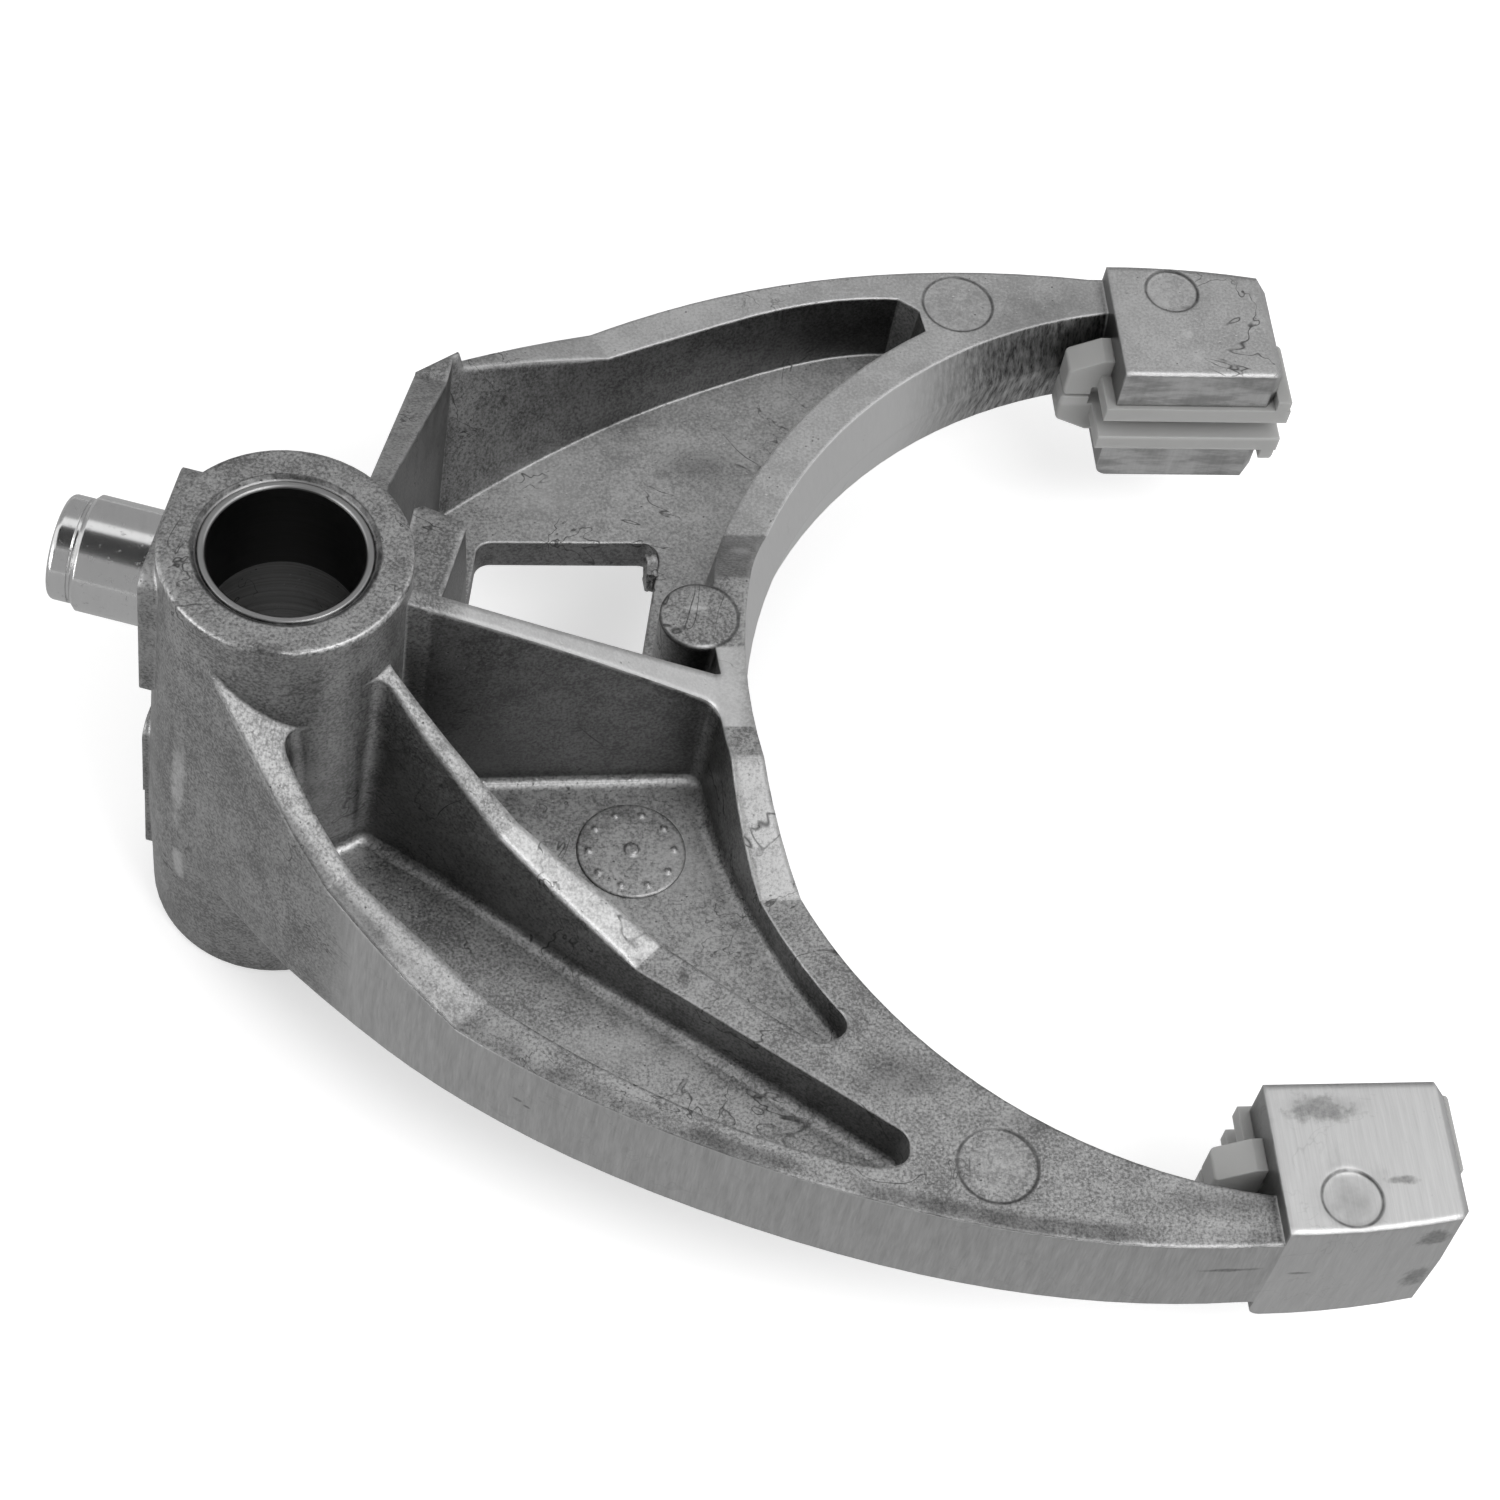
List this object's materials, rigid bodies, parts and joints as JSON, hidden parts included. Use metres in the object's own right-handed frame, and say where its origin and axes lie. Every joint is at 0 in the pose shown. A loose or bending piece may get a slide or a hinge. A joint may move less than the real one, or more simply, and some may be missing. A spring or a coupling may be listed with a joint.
{
  "type": "shift fork",
  "caption": "Die-cast gearbox shift fork: ribbed web with two curved arms, a bushed hub that slides on a rail, a steel actuating pin and a grooved nylon shoe in each tip.",
  "frame": {"origin": "on the rail bore's axis, in the mid-plane of the two shoe grooves", "axes": "+Z along the rail bore towards the hub's taller end, +X from the bore to the middle of the ring that the fork straddles, +Y towards the far arm, on the actuating pin's side of the mid-line"},
  "size_m": [0.2266, 0.2031, 0.096],
  "materials": {
    "cast_aluminium": "as cast, satin, with brushed machined faces",
    "bush_steel": "fine turned",
    "polished_steel": "hardened and polished",
    "nylon": "natural moulded nylon, slightly translucent"
  },
  "bodies": {
    "root": {"fork_body": "cast_aluminium", "bush_upper": "bush_steel", "bush_lower": "bush_steel", "shift_pin": "polished_steel", "shoe_far": "nylon", "shoe_near": "nylon"}
  },
  "joints": []
}
